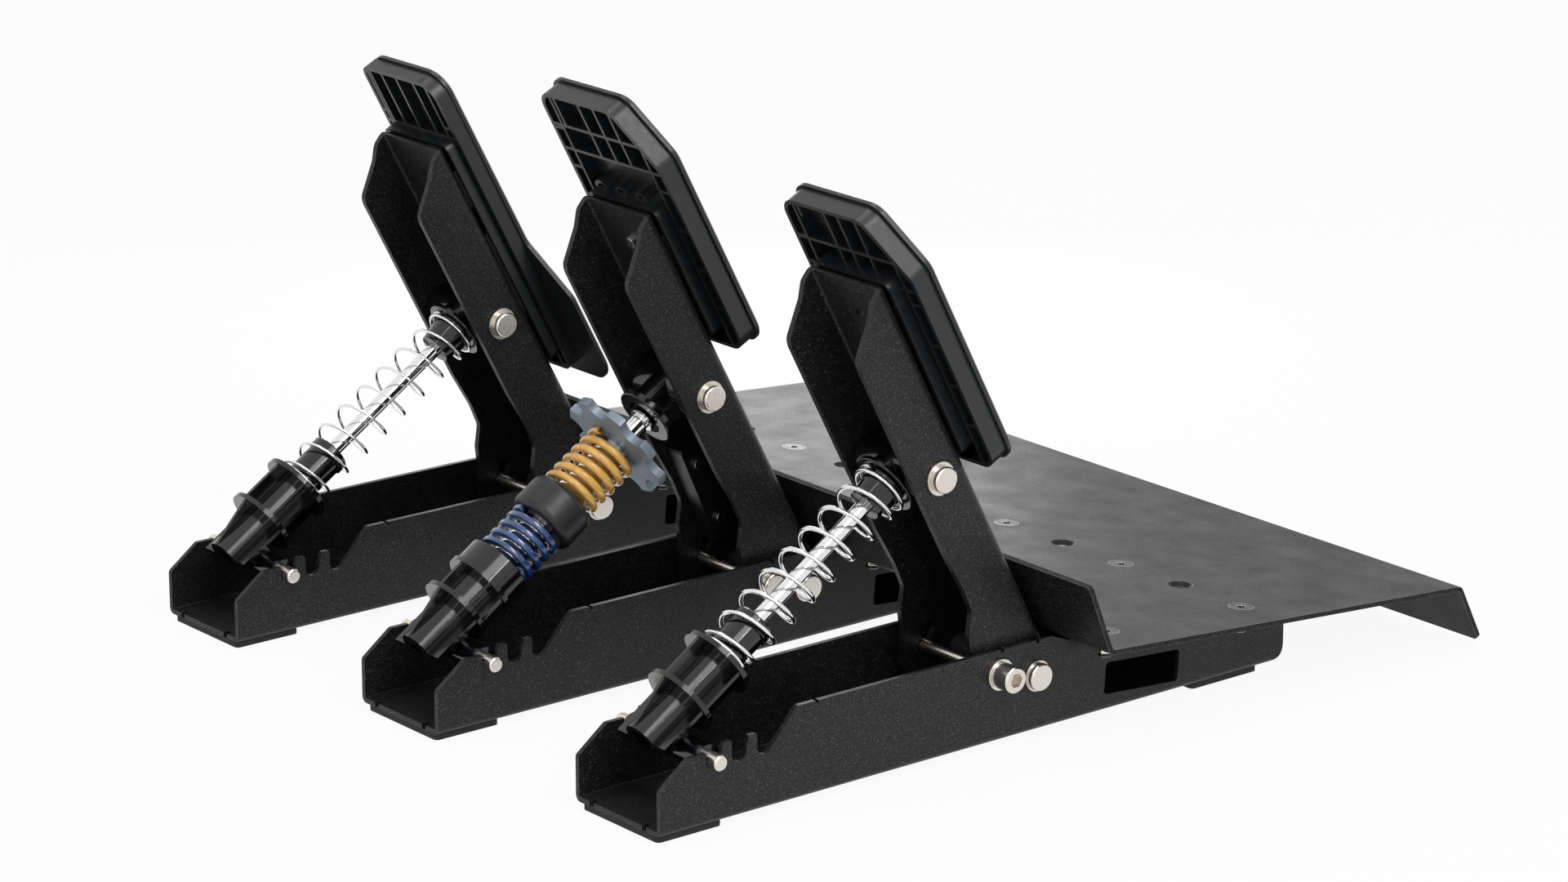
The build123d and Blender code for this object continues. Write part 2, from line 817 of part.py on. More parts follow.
# Pads: a ribbed carrier bolted to the arm's web, and a face plate over it
throttle_face_shares = [(-1.035, 0.427), (-1.659, 0.256), (-1.659, -0.040), (1.05, -0.040)]
carrier_bars = {
    "clutch": {"across": [0.845, 0.740], "up": [(0.69, 0.94), (0.22, 0.74), (-0.03, 0.74), (-0.34, 0.74)]},
    "brake": {"across": [0.865, 0.760], "up": [(0.69, 0.865), (0.20, 0.76), (-0.10, 0.76), (-0.40, 0.76)]},
    "throttle": {"across": [0.815], "up": [(0.85, 0.60), (0.44, 0.815), (0.03, 0.815), (-0.45, 0.815)]},
}
ring_boss_shares = [(0.543, 0.606), (0.144, 0.606), (-0.252, 0.604)]
ring_boss_round = 4.2
ring_boss_hole = 2.6
rib_end_share = 0.10
grip_share = 0.62
grip_count = 6
grip_width = 3.0
grip_spread_share = 0.72


def pad_outline(name, lip):
    """Corners of a pad from its lower left round to its upper left, with a lip added"""
    low = pad_low[name] - lip
    high = pad_high[name] + lip
    half = pad_half[name] + lip
    if name == "throttle":
        return [(-half, low), (half, low), (half, high), (-half, high)]
    return [
        (-half, low),
        (half, low),
        (half, high),
        (-half + pad_cut_across, high),
        (-half, high - pad_cut_down),
    ]


def pad_sketch(name, lip):
    """Face of a pad with rounded corners"""
    points = pad_outline(name, lip)
    with BuildSketch() as face:
        with BuildLine():
            Polyline(points, close=True)
        make_face()
        round_size = pad_corner[name] + lip
        if name == "throttle":
            fillet(nearest_corners(face, points[3:]), 2 * round_size)
            fillet(nearest_corners(face, points[:3]), round_size)
        else:
            fillet(nearest_corners(face, points), round_size)
    return face.sketch


def carrier_solid(name):
    """Tray open towards the web, with ribs, screw bosses and tabs"""
    low = pad_low[name]
    height = pad_high[name] - low
    half = pad_half[name]
    depth = carrier_depth[name]
    bars = carrier_bars[name]
    screws = [(0, pad_screw_up), (0, pad_screw_up - pad_screw_gap)]
    with BuildPart() as tray:
        with BuildSketch(Plane.XY.offset(pad_gap)):
            add(pad_sketch(name, 0))
        extrude(amount=depth)
        with BuildSketch(Plane.XY.offset(pad_gap)) as ribs:
            add(pad_sketch(name, -carrier_wall))
            for share in (side_rib_share, -side_rib_share):
                with Locations((half * share, low + height / 2)):
                    Rectangle(rib_thick, height, mode=Mode.SUBTRACT)
            tab_length = half * (1 - side_rib_share)
            for index in range(tab_count):
                up = low + height * (index + rib_end_share) / tab_count
                for side in (-1, 1):
                    with Locations((side * (half - tab_length / 2), up)):
                        Rectangle(tab_length, rib_thick, mode=Mode.SUBTRACT)
            for share in bars["across"]:
                with Locations((0, low + height * share)):
                    Rectangle(2 * half, rib_thick, mode=Mode.SUBTRACT)
            for across, foot in bars["up"]:
                rib_height = height * (1 - foot)
                with Locations((half * across, pad_high[name] - rib_height / 2)):
                    Rectangle(rib_thick, rib_height, mode=Mode.SUBTRACT)
            with Locations(*screws):
                Circle(boss_round, mode=Mode.SUBTRACT)
            if name == "brake":
                for across, up in ring_boss_shares:
                    with Locations((half * across, low + height * up)):
                        Circle(ring_boss_round, mode=Mode.SUBTRACT)
        extrude(amount=depth - carrier_base, mode=Mode.SUBTRACT)
        spine_half = arm_width / 2 + spine_margin
        spine_length = arm_top - low - spine_foot
        with BuildSketch() as spine:
            with Locations((0, arm_top - spine_length / 2)):
                RectangleRounded(2 * spine_half, spine_length, spine_round)
            offset(amount=-spine_wall, mode=Mode.SUBTRACT)
        extrude(amount=pad_gap + depth)
        with BuildSketch():
            with Locations(*screws):
                Circle(boss_round)
        extrude(amount=pad_gap + depth)
        with BuildSketch():
            with Locations(*screws):
                Circle(pad_screw_shank / 2 + fit_gap)
        extrude(amount=pad_gap + depth, mode=Mode.SUBTRACT)
        with BuildSketch(Plane.XY.offset(pad_gap + depth)):
            with Locations(*screws):
                Circle(pad_screw_head / 2 + run_gap)
        extrude(amount=-pad_screw_head_depth - run_gap, mode=Mode.SUBTRACT)
        if name == "brake":
            with BuildSketch(Plane.XY.offset(pad_gap)):
                for across, up in ring_boss_shares:
                    with Locations((half * across, low + height * up)):
                        Circle(ring_boss_hole)
            extrude(amount=depth - carrier_base, mode=Mode.SUBTRACT)
    return tray.part


def face_solid(name):
    """Face plate with raised grip bars on the driver's side"""
    low = pad_low[name]
    height = pad_high[name] - low
    half = pad_half[name]
    base = pad_gap + carrier_depth[name]
    with BuildPart() as plate:
        with BuildSketch(Plane.XY.offset(base)) as outline:
            if name == "throttle":
                points = [(half * across, low + height * up) for across, up in throttle_face_shares]
                top = pad_high[name] + face_lip
                points += [(half + face_lip, top), (-half - face_lip * far_lip_share, top)]
                with BuildLine():
                    Polyline(points, close=True)
                make_face()
                fillet(nearest_corners(outline, points[:2] + points[3:4]), pad_corner[name] + face_lip)
                fillet(nearest_corners(outline, points[2:3]), throttle_flare_round)
                fillet(nearest_corners(outline, points[4:]), 2 * pad_corner[name])
            else:
                add(pad_sketch(name, face_lip))
        extrude(amount=face_thick)
        chamfer(plate.faces().sort_by(Axis.Z)[-1].edges(), face_soft)
        with BuildSketch(Plane.XY.offset(base + face_thick)):
            for index in range(grip_count):
                share = (index + 1 / 2) / grip_count - 1 / 2
                with Locations((0, low + height / 2 + height * grip_spread_share * share)):
                    SlotOverall(2 * half * grip_share, grip_width)
        extrude(amount=grip_height)
    return plate.part


def pad_screw_solid(stand, depth):
    """Socket head screw through the carrier into the web"""
    head_top = pad_gap + depth - run_gap
    head_foot = pad_gap + depth - pad_screw_head_depth - run_gap
    end = -arm_sheet - stand
    with BuildPart() as screw:
        with BuildSketch(Plane.XY.offset(end)):
            Circle(pad_screw_shank / 2)
        extrude(amount=head_foot - end)
        with BuildSketch(Plane.XY.offset(head_foot)):
            Circle(pad_screw_head / 2)
        extrude(amount=head_top - head_foot)
        with BuildSketch(Plane.XY.offset(head_top)):
            RegularPolygon(pad_screw_socket / 2, 6, major_radius=False)
        extrude(amount=-pad_screw_head_depth / 2, mode=Mode.SUBTRACT)
    return screw.part


for name, x in module_x.items():
    with BuildPart() as carrier:
        with Locations((x, 0, 0)):
            with Locations(web_plane.location):
                add(carrier_solid(name))
    keep(carrier.part, name + "_pad_carrier")
    with BuildPart() as face:
        with Locations((x, 0, 0)):
            with Locations(web_plane.location):
                add(face_solid(name))
    keep(face.part, name + "_pad_face")
    with BuildPart() as pad_screws:
        stand = pad_screw_stand if name == "brake" else -arm_sheet / 2
        with Locations((x, 0, 0)):
            with Locations(web_plane.location):
                with Locations((0, pad_screw_up, 0), (0, pad_screw_up - pad_screw_gap, 0)):
                    add(pad_screw_solid(stand, carrier_depth[name]))
    keep(pad_screws.part, name + "_pad_screws")

# Struts, built down the Z axis from the upper pin and laid on the strut's slope
pin_down, pin_up = on_strut(strut_pin_run, strut_pin_rise)
first_ring = pin_down - ring_setback
second_ring = first_ring + ring_spacing
housing_end = second_ring + housing_tail
rod_end = first_ring + rod_engagement
collar_start = first_ring - collar_reach
collar_end = collar_start + collar_length
brake_collar_start = pin_down - brake_collar_setback
brake_collar_end = brake_collar_start + brake_collar_length
brake_ring = brake_collar_end + brake_ring_spacing
brake_end = brake_ring + brake_tail
brake_bore_end = brake_ring - brake_bore_floor
plunger_end = brake_collar_start + plunger_engagement
eye_half = half_arm_inside - run_gap


def eye_solid(start, end, round_size, guided):
    """Eye on the upper pin, with gussets to its spring seat"""
    with BuildPart() as eye:
        with BuildSketch(Plane.YZ):
            Circle(eye_round)
        extrude(amount=eye_half, both=True)
        fillet(eye.edges().filter_by(GeomType.CIRCLE), carrier_wall)
        with BuildSketch(Plane.XZ):
            with BuildLine():
                Polyline(
                    (-eye_half + carrier_wall, 0),
                    (eye_half - carrier_wall, 0),
                    (round_size - carrier_wall, start),
                    (-round_size + carrier_wall, start),
                    close=True,
                )
            make_face()
        extrude(amount=eye_round * gusset_share, both=True)
        with BuildSketch():
            Circle(eye_round)
        extrude(amount=start)
        with BuildSketch(Plane.XY.offset(start)):
            Circle(round_size)
        extrude(amount=end - start)
        fillet(eye.edges().filter_by(GeomType.CIRCLE).group_by(Axis.Z)[-1], seat_rim_round)
        if guided:
            with BuildSketch(Plane.XY.offset(end)):
                Circle(guide_round)
            with BuildSketch(Plane.XY.offset(guide_end)):
                Circle(guide_tip_round)
            loft()
        with BuildSketch(Plane.YZ):
            Circle(pin_half + fit_gap)
        extrude(amount=arm_width, both=True, mode=Mode.SUBTRACT)
    return eye.part


def bored(blank, start, end, width):
    """A piece with a round hole down the strut's axis"""
    with BuildPart() as piece:
        add(blank)
        with BuildSketch(Plane.XY.offset(start)):
            Circle(width / 2 + fit_gap)
        extrude(amount=end - start, mode=Mode.SUBTRACT)
    return piece.part


def housing_solid(profile, first, second, end, core, bore, bore_end):
    """Housing with two rings, cross fins and a boss on the strut pin"""
    half_ring = ring_thick / 2
    with BuildPart() as housing:
        add(turned_down(profile))
        for place in (first, second):
            with BuildSketch(Plane.XY.offset(place - half_ring)):
                Circle(ring_round)
            extrude(amount=ring_thick)
        with BuildSketch(Plane.XY.offset(first)):
            Rectangle(2 * ring_round - fin_thick, fin_thick)
            Rectangle(fin_thick, 2 * ring_round - fin_thick)
        extrude(amount=second - first)
        with BuildSketch(Plane.YZ):
            with BuildLine():
                Polyline((0, second), (ring_round - fin_thick, second), (core, end), (0, end), close=True)
            make_face()
        extrude(amount=fin_thick / 2, both=True)
        with BuildSketch(Plane.XY.offset(second)):
            Rectangle(2 * ring_round - fin_thick, fin_thick)
        extrude(amount=end - second)
        with BuildSketch(Plane.YZ):
            with Locations((pin_up, pin_down)):
                Circle(boss_pin_round)
        extrude(amount=boss_length / 2, both=True)
        with BuildSketch(Plane.XZ):
            with Locations((0, pin_down)):
                Rectangle(2 * ring_round - fin_thick, fin_thick)
        extrude(amount=-pin_up)
        with BuildSketch(Plane.YZ):
            with Locations((pin_up / 2, pin_down)):
                Rectangle(-pin_up, 2 * boss_pin_round)
        extrude(amount=core, both=True)
        with BuildSketch(Plane.YZ):
            with Locations((pin_up, pin_down)):
                Circle(strut_pin / 2 + fit_gap)
        extrude(amount=rail_width, both=True, mode=Mode.SUBTRACT)
        with BuildSketch():
            Circle(bore)
        extrude(amount=bore_end, mode=Mode.SUBTRACT)
    return housing.part


rod_bore = rod_width / 2 + rod_gap
with BuildPart() as return_housing:
    add(
        housing_solid(
            [
                (0, collar_start),
                (collar_round - pin_chamfer, collar_start),
                (collar_round, collar_start + pin_chamfer),
                (collar_round, collar_end),
                (core_round, collar_end + pin_chamfer),
                (core_round, housing_end),
                (0, housing_end),
            ],
            first_ring,
            second_ring,
            housing_end,
            core_round,
            rod_bore,
            housing_end + overrun,
        )
    )

plunger_bore = plunger_width / 2 + plunger_gap
with BuildPart() as brake_housing_blank:
    add(
        housing_solid(
            [
                (0, brake_collar_start),
                (brake_collar_round - pin_chamfer, brake_collar_start),
                (brake_collar_round, brake_collar_start + pin_chamfer),
                (brake_collar_round, brake_collar_end),
                (brake_core_round, brake_collar_end),
                (brake_core_round, brake_ring),
                (core_round, brake_ring),
                (core_round, brake_end),
                (0, brake_end),
            ],
            brake_collar_end,
            brake_ring,
            brake_end,
            core_round,
            plunger_bore,
            brake_bore_end,
        )
    )
    with BuildSketch(Plane.XY.offset(brake_collar_end)):
        Circle(brake_collar_round)
        with Locations((0, brake_collar_round)):
            Rectangle(2 * brake_collar_round, 2 * brake_collar_round, mode=Mode.SUBTRACT)
        Circle(plunger_bore, mode=Mode.SUBTRACT)
    extrude(amount=brake_ring - brake_collar_end)
    with BuildSketch(Plane.XY.offset(brake_bore_end - fit_gap)):
        Circle(rod_width / 2)
    extrude(amount=brake_end, mode=Mode.SUBTRACT)


def bent_between(start, start_way, end, end_way):
    """Two arcs that leave one place and reach the next without a kink"""
    span = end - start
    ways = start_way + end_way
    slack = 2 * (1 - start_way.dot(end_way))
    reach = (-span.dot(ways) + sqrt(span.dot(ways) ** 2 + slack * span.dot(span))) / slack
    first = start + start_way * reach
    second = end - end_way * reach
    middle = (first + second) * (1 / 2)
    return middle, (second - first).normalized()


# A long coil closes with a full turn at each end, and a short one with less
long_coil_turns = 8
long_closing_shares = (1.0, 0.5)
short_closing_shares = (0.75, 0.25)
closed_gap_share = 0.38
slope_step_share = 0.001
measure_steps = 72


def coil_turns(turns):
    """Closed turns at each end, and the turns that open them"""
    return long_closing_shares if turns > long_coil_turns else short_closing_shares


def coil_height(place, turns, wire, span):
    """Height of a coil's centre line after a number of turns, closed at both ends"""
    end_turns, opening = coil_turns(turns)
    closed_pitch = wire * (1 + closed_gap_share)
    pitch = closed_pitch + (span - closed_pitch * turns) / (turns - 2 * end_turns - opening)
    if place > turns / 2:
        return span - coil_height(turns - place, turns, wire, span)
    if place <= end_turns:
        return closed_pitch * place
    into = min(place - end_turns, opening)
    beyond = max(place - end_turns - opening, 0)
    ramp = (pitch - closed_pitch) * into**2 / (2 * opening)
    return closed_pitch * place + ramp + (pitch - closed_pitch) * beyond


def coil_place(place, turns, wire, span, radius, start):
    """Point on a coil's centre line"""
    angle = 2 * pi * place
    return Vector(
        radius * cos(angle), radius * sin(angle), start + coil_height(place, turns, wire, span)
    )


def coil_way(place, turns, wire, span, radius):
    """Direction of a coil's centre line"""
    angle = 2 * pi * place
    low = max(place - slope_step_share, 0)
    high = min(place + slope_step_share, turns)
    rise = coil_height(high, turns, wire, span) - coil_height(low, turns, wire, span)
    climb = rise / (high - low) / (2 * pi)
    return Vector(-radius * sin(angle), radius * cos(angle), climb).normalized()


def coil_path(start, span, radius, wire, turns):
    """Centre line of a coil as pairs of arcs, a pair to each quarter turn"""
    steps = round(turns * 4)
    nodes = [coil_place(index / 4, turns, wire, span, radius, start) for index in range(steps + 1)]
    ways = [coil_way(index / 4, turns, wire, span, radius) for index in range(steps + 1)]
    with BuildLine() as path:
        for here, there, way, next_way in zip(nodes, nodes[1:], ways, ways[1:]):
            middle, middle_way = bent_between(here, way, there, next_way)
            TangentArc(here, middle, tangent=way)
            TangentArc(middle, there, tangent=middle_way)
    return path, Plane(origin=nodes[0], x_dir=(1, 0, 0), z_dir=ways[0])


def coil_solid(name, start, end, width, wire, across, turns):
    """Spring between two seats: one unbroken tube of round or flat wire"""
    span = end - start - wire - 2 * fit_gap
    foot = start + wire / 2 + fit_gap
    radius = (width - across) / 2
    path, section_plane = coil_path(foot, span, radius, wire, turns)
    with BuildPart() as coil:
        with BuildSketch(section_plane) as section:
            if across > wire:
                RectangleRounded(across, wire, wire / 4)
            else:
                Circle(wire / 2)
        if across > wire:
            guide, _ = coil_path(foot, span, radius / 2, wire, turns)
            sweep(path=path.line, binormal=guide.wire())
        else:
            sweep(path=path.line)
    count = round(turns * measure_steps)
    places = [
        coil_place(index / measure_steps, turns, wire, span, radius, foot) for index in range(count + 1)
    ]
    gap = min(
        (places[here] - places[there]).length
        for here in range(count + 1)
        for there in range(here + measure_steps // 2, count + 1)
    )
    run = sum(edge.length for edge in path.edges())
    filled = coil.part.volume / (section.sketch.area * run)
    print(name, "least gap", round(gap - wire, 3), "volume against section by length", round(filled, 4))
    return coil.part


def laid(x, piece):
    """A strut piece turned onto the strut's slope in its module"""
    with BuildPart() as placed:
        with Locations((x, 0, 0)):
            with Locations(strut_plane.location):
                add(piece)
    return placed.part


rod_points = [
    (0, rod_start),
    (rod_width / 2, rod_start),
    (rod_width / 2, rod_end - pin_chamfer),
    (rod_width / 2 - pin_chamfer, rod_end),
    (0, rod_end),
]
for name in ("clutch", "throttle"):
    x = module_x[name]
    with BuildPart() as housing:
        add(laid(x, return_housing.part))
    keep(housing.part, name + "_housing")
    with BuildPart() as eye:
        blank = eye_solid(seat_start, seat_end, seat_round, True)
        add(laid(x, bored(blank, rod_start - fit_gap, guide_end + overrun, rod_width)))
    keep(eye.part, name + "_eye")
    with BuildPart() as rod:
        add(laid(x, turned_down(rod_points)))
    keep(rod.part, name + "_rod")
    with BuildPart() as spring:
        wire = return_wire[name]
        foot = first_ring - ring_thick / 2
        coil = coil_solid(
            name + "_spring", seat_end, foot, return_spring_width, wire, wire, return_turns
        )
        add(laid(x, coil))
    keep(spring.part, name + "_spring")

# The brake's two springs share the room between the nut and the housing as their free lengths do,
# and each has as many quarter turns as its length takes
turn_parts = 4
spring_room = brake_collar_start - adjuster_end - cup_length
amber_length = spring_room * amber_free_length / (amber_free_length + blue_free_length)
blue_length = spring_room - amber_length
amber_turns = round(turn_parts * amber_length / amber_pitch) / turn_parts
blue_turns = round(turn_parts * blue_length / blue_pitch) / turn_parts
cup_start = adjuster_end + amber_length
cup_end = cup_start + cup_length

brake_x = module_x["brake"]
with BuildPart() as brake_housing:
    add(laid(brake_x, brake_housing_blank.part))
keep(brake_housing.part, "brake_housing")

with BuildPart() as brake_eye:
    brake_eye_blank = eye_solid(brake_seat_start, brake_seat_end, brake_seat_round, False)
    recess_foot = brake_seat_end - brake_seat_recess_depth
    eye_bored = bored(brake_eye_blank, stud_start - fit_gap, guide_end, stud_width)
    add(laid(brake_x, bored(eye_bored, recess_foot, guide_end, 2 * brake_seat_recess)))
keep(brake_eye.part, "brake_eye")

stud_half = stud_width / 2
groove_half = groove_width / 2
stud_end = adjuster_end + amber_wire
collar_foot = recess_foot + run_gap
with BuildPart() as brake_stud:
    stud_points = [
        (0, stud_start),
        (stud_half, stud_start),
        (stud_half, collar_foot),
        (stud_collar / 2, collar_foot),
        (stud_collar / 2, groove_start),
        (groove_half, groove_start),
        (groove_half, groove_end),
        (stud_half, groove_end),
        (stud_half, stud_end),
        (0, stud_end),
    ]
    stud_blank = turned_down(stud_points)
    add(laid(brake_x, stud_blank))
    with BuildSketch(Plane.YZ):
        with Locations(spot(eye_run, eye_rise)):
            Circle(pin_half + run_gap)
    extrude(amount=arm_width, both=True, mode=Mode.SUBTRACT)
keep(brake_stud.part, "brake_stud")

scallop_share = 0.57
scallop_place_share = 0.99
adjuster_half = adjuster_width / 2
with BuildPart() as nut_blank:
    with BuildSketch(Plane.XY.offset(adjuster_start)):
        Circle(adjuster_half)
        scallop_reach = adjuster_half * scallop_place_share
        with PolarLocations(scallop_reach, adjuster_lobes, start_angle=adjuster_turned):
            Circle(adjuster_half * pi / adjuster_lobes * scallop_share, mode=Mode.SUBTRACT)
        Circle(stud_half + fit_gap, mode=Mode.SUBTRACT)
    extrude(amount=adjuster_end - adjuster_start)
with BuildPart() as adjuster_nut:
    add(laid(brake_x, nut_blank.part))
keep(adjuster_nut.part, "adjuster_nut")

plunger_half = plunger_width / 2
plunger_start = adjuster_end + fit_gap
with BuildPart() as brake_plunger:
    plunger_points = [
        (0, plunger_start),
        (plunger_half, plunger_start),
        (plunger_half, plunger_end - pin_chamfer),
        (plunger_half - pin_chamfer, plunger_end),
        (0, plunger_end),
    ]
    plunger_blank = turned_down(plunger_points)
    add(laid(brake_x, bored(plunger_blank, plunger_start - fit_gap, stud_end + fit_gap, stud_width)))
keep(brake_plunger.part, "brake_plunger")

cup_half = cup_width / 2
with BuildPart() as cup_blank:
    with BuildSketch(Plane.XY.offset(cup_start)):
        Circle(cup_half)
    extrude(amount=cup_end - cup_start)
    fillet(cup_blank.edges().filter_by(GeomType.CIRCLE), cup_round)
    with BuildSketch(Plane.XY.offset(cup_start)):
        Circle(plunger_half + run_gap)
    extrude(amount=cup_end - cup_start, mode=Mode.SUBTRACT)
with BuildPart() as coupling_cup:
    add(laid(brake_x, cup_blank.part))
keep(coupling_cup.part, "coupling_cup")

with BuildPart() as amber_spring:
    amber_coil = coil_solid(
        "amber_spring", adjuster_end, cup_start, amber_width, amber_wire, amber_wire, amber_turns
    )
    add(laid(brake_x, amber_coil))
keep(amber_spring.part, "amber_spring")

with BuildPart() as blue_spring:
    blue_coil = coil_solid(
        "blue_spring", cup_end, brake_collar_start, blue_width, blue_wire, blue_wire_across, blue_turns
    )
    add(laid(brake_x, blue_coil))
keep(blue_spring.part, "blue_spring")

# Sensor cover inside the brake arm, against its far flange, with two screws
cover_top = Vector(*spot(eye_run + cover_top_back, eye_rise - cover_top_drop))
cover_foot = Vector(*spot(pivot_run - cover_foot_ahead, pivot_rise + cover_foot_lift))
cover_way = (cover_top - cover_foot).normalized()
cover_length = (cover_top - cover_foot).length
cover_across = Vector(-cover_way.Y, cover_way.X)
cover_middle = (cover_top + cover_foot) * (1 / 2) + cover_across * (cover_width / 2)
cover_face = brake_x + half_arm_inside - cover_thick
cover_plane = Plane(
    origin=(cover_face, cover_middle.X, cover_middle.Y),
    x_dir=(0, cover_way.X, cover_way.Y),
    z_dir=(1, 0, 0),
)
cover_screw_places = [
    (cover_length / 2 - cover_screw_inset, 0),
    (-cover_length / 2 + cover_screw_inset, 0),
]
with BuildPart() as sensor_cover:
    with BuildSketch(cover_plane):
        RectangleRounded(cover_length, cover_width, cover_round)
    extrude(amount=cover_thick)
    with BuildSketch(cover_plane):
        with Locations(*cover_screw_places):
            Circle(cover_screw / 2 + fit_gap)
    extrude(amount=cover_thick, mode=Mode.SUBTRACT)
keep(sensor_cover.part, "sensor_cover")

with BuildPart() as sensor_cover_screws:
    with BuildSketch(cover_plane):
        with Locations(*cover_screw_places):
            Circle(cover_screw / 2)
    extrude(amount=cover_thick)
    with BuildSketch(cover_plane):
        with Locations(*cover_screw_places):
            Circle(cover_screw_head / 2)
    extrude(amount=-cover_screw_head_length)
keep(sensor_cover_screws.part, "sensor_cover_screws")

# One small case of electronics stands on each rail's floor under the heel plate
board_case_run = ear_run + board_case_setback
board_case_place = rail_width / 2 - rail_sheet - board_case_gap - board_case_width / 2
with BuildPart() as board_cases:
    with BuildSketch(Plane.XY.offset(foot_thick + rail_sheet)):
        for x in module_x.values():
            with Locations((x + board_case_place, spot(board_case_run, 0)[0])):
                RectangleRounded(board_case_width, board_case_length, board_case_round)
    extrude(amount=board_case_height)
keep(board_cases.part, "board_cases")
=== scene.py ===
# %% [markdown]
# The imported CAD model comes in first. Everything that Blender adds is built in the same
# metres and the same axes, so a piece goes where the CAD says it is, with no fitting.

# %% Load the frame
import json
import math

import bmesh
import bpy
from mathutils import Matrix, Vector


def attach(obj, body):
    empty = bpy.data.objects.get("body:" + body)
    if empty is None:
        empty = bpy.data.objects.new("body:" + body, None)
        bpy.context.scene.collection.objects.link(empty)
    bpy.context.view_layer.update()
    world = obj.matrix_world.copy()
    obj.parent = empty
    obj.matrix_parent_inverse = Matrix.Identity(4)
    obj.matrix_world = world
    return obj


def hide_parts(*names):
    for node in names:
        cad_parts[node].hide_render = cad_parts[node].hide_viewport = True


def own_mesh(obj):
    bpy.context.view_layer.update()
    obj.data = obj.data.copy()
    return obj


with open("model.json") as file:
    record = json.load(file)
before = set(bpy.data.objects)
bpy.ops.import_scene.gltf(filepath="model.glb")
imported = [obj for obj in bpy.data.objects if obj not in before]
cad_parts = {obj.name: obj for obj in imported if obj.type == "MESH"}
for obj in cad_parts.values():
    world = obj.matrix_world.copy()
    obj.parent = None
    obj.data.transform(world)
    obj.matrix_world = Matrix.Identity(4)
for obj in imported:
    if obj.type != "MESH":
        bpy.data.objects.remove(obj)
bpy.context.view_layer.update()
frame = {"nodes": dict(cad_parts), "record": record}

scene = bpy.context.scene

# %% [markdown]
# The photograph was measured as a perspective view: its focal length is 6246 pixels of
# 1920, its middle lies a little off the picture's middle, and its horizon is level. The
# same camera here makes the two pictures line up piece for piece.

# %% Camera
focal_px = 6246.06
wide_px, high_px = 1920, 1080
middle_px = (977.15, 515.42)
sensor_mm = 36
far_clip = 50
camera_data = bpy.data.cameras.new("photo_camera")
camera_data.sensor_width = sensor_mm
camera_data.lens = focal_px / wide_px * sensor_mm
camera_data.shift_x = (wide_px / 2 - middle_px[0]) / wide_px
camera_data.shift_y = (middle_px[1] - high_px / 2) / wide_px
camera_data.clip_end = far_clip
camera = bpy.data.objects.new("photo_camera", camera_data)
scene.collection.objects.link(camera)
right = Vector((-0.630626, -0.776086, 0.000792))
up = Vector((0.221655, -0.179132, 0.958531))
back = Vector((-0.743760, 0.604650, 0.284989))
place = Vector((-1.50322, 1.22191, 0.65997))
turned = Matrix((right, up, back)).transposed().to_4x4()
camera.matrix_world = Matrix.Translation(place) @ turned
scene.camera = camera
print("lens", round(camera_data.lens, 2))
print("shift", round(camera_data.shift_x, 5), round(camera_data.shift_y, 5))

# %% [markdown]
# The set was shot on white. Floor and world are white where the camera looks at them and
# where a surface mirrors them. For every other ray the floor is pale paint and the world a
# dim grey room, so the white shows in reflections but doesn't flood the set. A small part
# of the paint is mixed in for the camera too, and keeps a faint contact shadow.

# %% Rays that see the background
bounced_rays = ("Is Glossy Ray", "Is Transmission Ray")


def background_rays(nodes, links):
    """1 for a ray from the camera, from a reflection or through glass, and 0 for others"""
    path = nodes.new("ShaderNodeLightPath")
    value = path.outputs["Is Camera Ray"]
    for ray in bounced_rays:
        either = nodes.new("ShaderNodeMath")
        either.operation = "MAXIMUM"
        links.new(value, either.inputs[0])
        links.new(path.outputs[ray], either.inputs[1])
        value = either.outputs["Value"]
    return value


print("white for the camera's rays and", bounced_rays)

# %% Floor
white = 1.0
half_floor = 30
floor_drop = 0.0004
white_share = 0.93
floor_grey = (0.93, 0.93, 0.93, 1)
floor_mesh = bpy.data.meshes.new("floor")
signs = ((-1, -1), (1, -1), (1, 1), (-1, 1))
corners = [(x * half_floor, y * half_floor, 0) for x, y in signs]
floor_mesh.from_pydata(corners, [], [(0, 1, 2, 3)])
floor = bpy.data.objects.new("floor", floor_mesh)
scene.collection.objects.link(floor)
floor.location.z = -floor_drop

floor_paint = bpy.data.materials.new("pale_floor")
floor_paint.use_nodes = True
floor_nodes, floor_links = floor_paint.node_tree.nodes, floor_paint.node_tree.links
floor_shader = floor_nodes["Principled BSDF"]
floor_shader.inputs["Base Color"].default_value = floor_grey
floor_shader.inputs["Roughness"].default_value = 0.9
floor_shader.inputs["Specular IOR Level"].default_value = 0.1
floor_white = floor_nodes.new("ShaderNodeEmission")
floor_white.inputs["Strength"].default_value = white
floor_share = floor_nodes.new("ShaderNodeMath")
floor_share.operation = "MULTIPLY"
floor_share.inputs[1].default_value = white_share
floor_pick = floor_nodes.new("ShaderNodeMixShader")
floor_links.new(background_rays(floor_nodes, floor_links), floor_share.inputs[0])
floor_links.new(floor_share.outputs["Value"], floor_pick.inputs["Fac"])
floor_links.new(floor_shader.outputs["BSDF"], floor_pick.inputs[1])
floor_links.new(floor_white.outputs["Emission"], floor_pick.inputs[2])
floor_links.new(floor_pick.outputs["Shader"], floor_nodes["Material Output"].inputs["Surface"])
floor_mesh.materials.append(floor_paint)
print("floor", 2 * half_floor, "m wide,", white_share, "of it white")

